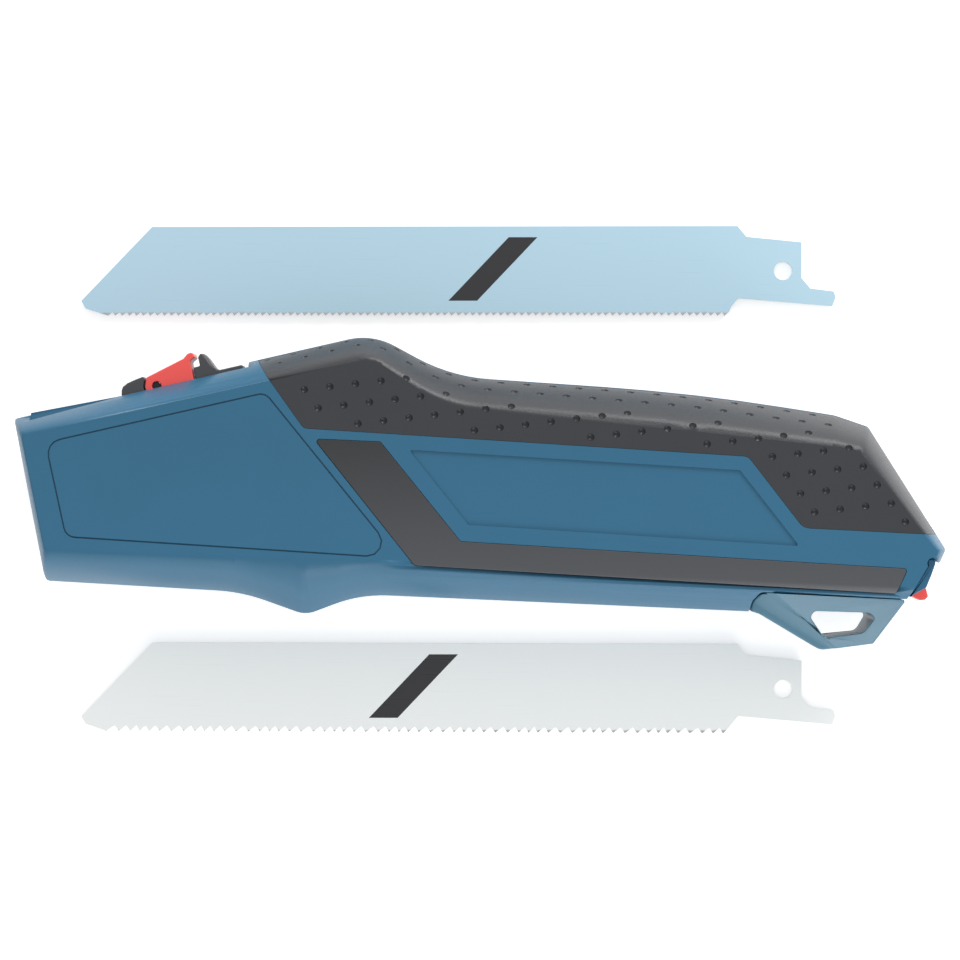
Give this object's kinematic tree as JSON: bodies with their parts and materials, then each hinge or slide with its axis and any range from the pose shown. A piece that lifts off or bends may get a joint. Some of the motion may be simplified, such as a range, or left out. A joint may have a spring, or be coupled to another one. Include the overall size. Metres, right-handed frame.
{
  "type": "hand_saw",
  "caption": "Blue and black hand-saw handle for sabre saw blades, with a sliding blade carriage, red release lever, hanging loop and two straight blades laid beside it",
  "frame": {"origin": "middle of the overall box in X and Y, on the plane the handle's right side and both blades lie on", "axes": "+X along the handle to its rear end, +Y from its underside to its top, +Z from its right side up to its left side"},
  "size_m": [0.1834, 0.1023, 0.028],
  "materials": {
    "blue_plastic": "fine-grained moulded steel-blue plastic",
    "grip_rubber": "soft dark slate over-moulded rubber",
    "slate_plastic": "smooth satin slate-grey plastic",
    "black_plastic": "satin black plastic",
    "red_plastic": "smooth red plastic",
    "bright_steel": "plain bright steel",
    "pale_blue_paint": "pale blue lacquer on steel",
    "pale_grey_paint": "near-white lacquer on steel"
  },
  "bodies": {
    "handle": {"left_shell": "blue_plastic", "right_shell": "blue_plastic", "left_grip": "grip_rubber", "right_grip": "grip_rubber", "left_inlay": "slate_plastic", "right_inlay": "slate_plastic", "hang_loop": "blue_plastic", "shell_screw_1": "bright_steel", "shell_screw_2": "bright_steel", "shell_screw_3": "bright_steel", "shell_screw_4": "bright_steel", "shell_screw_5": "bright_steel", "lid_pin": "bright_steel"},
    "carriage": {"carriage": "black_plastic", "lever_pin": "bright_steel", "blade_holder": "bright_steel", "blade_stud": "bright_steel", "blade_leaf": "bright_steel", "holder_screw_front": "bright_steel", "holder_screw_rear": "bright_steel", "lock_spring_left": "bright_steel", "lock_spring_right": "bright_steel"},
    "lever": {"release_lever": "red_plastic"},
    "stirrup": {"lock_stirrup": "bright_steel"},
    "lid": {"storage_lid": "blue_plastic"},
    "catch": {"lid_catch": "red_plastic"},
    "fine_blade": {"fine_tooth_blade": "pale_blue_paint"},
    "coarse_blade": {"coarse_tooth_blade": "pale_grey_paint"}
  },
  "joints": [
    {"name": "carriage_slide", "type": "slide", "parent": "handle", "child": "carriage", "axis": [-0.9748, -0.2233, 0], "range_m": [0, 0.016]},
    {"name": "lever_press", "type": "hinge", "parent": "carriage", "child": "lever", "pos_m": [-0.06341, 0.01841, 0.014], "axis": [0, 0, -1], "range_deg": [0, 7.05]},
    {"name": "stirrup_drop", "type": "slide", "parent": "carriage", "child": "stirrup", "axis": [0.2233, -0.9748, 0], "range_m": [0, 0.00063], "stiffness_N_per_m": 300},
    {"name": "lid_open", "type": "hinge", "parent": "handle", "child": "lid", "pos_m": [0.08744, -0.01611, 0.014], "axis": [0, 0, 1], "range_deg": [0, 65]},
    {"name": "catch_release", "type": "slide", "parent": "lid", "child": "catch", "axis": [0.508, 0.8614, 0], "range_m": [0, 0.001]},
    {"name": "fine_blade_lift", "type": "slide", "parent": "handle", "child": "fine_blade", "axis": [0, 0, 1], "range_m": [0, 0.05]},
    {"name": "coarse_blade_lift", "type": "slide", "parent": "handle", "child": "coarse_blade", "axis": [0, 0, 1], "range_m": [0, 0.05]}
  ],
  "couplings": [
    {"joint": "lever_press", "follows": "stirrup_drop", "rad_per_m": 193.93}
  ]
}
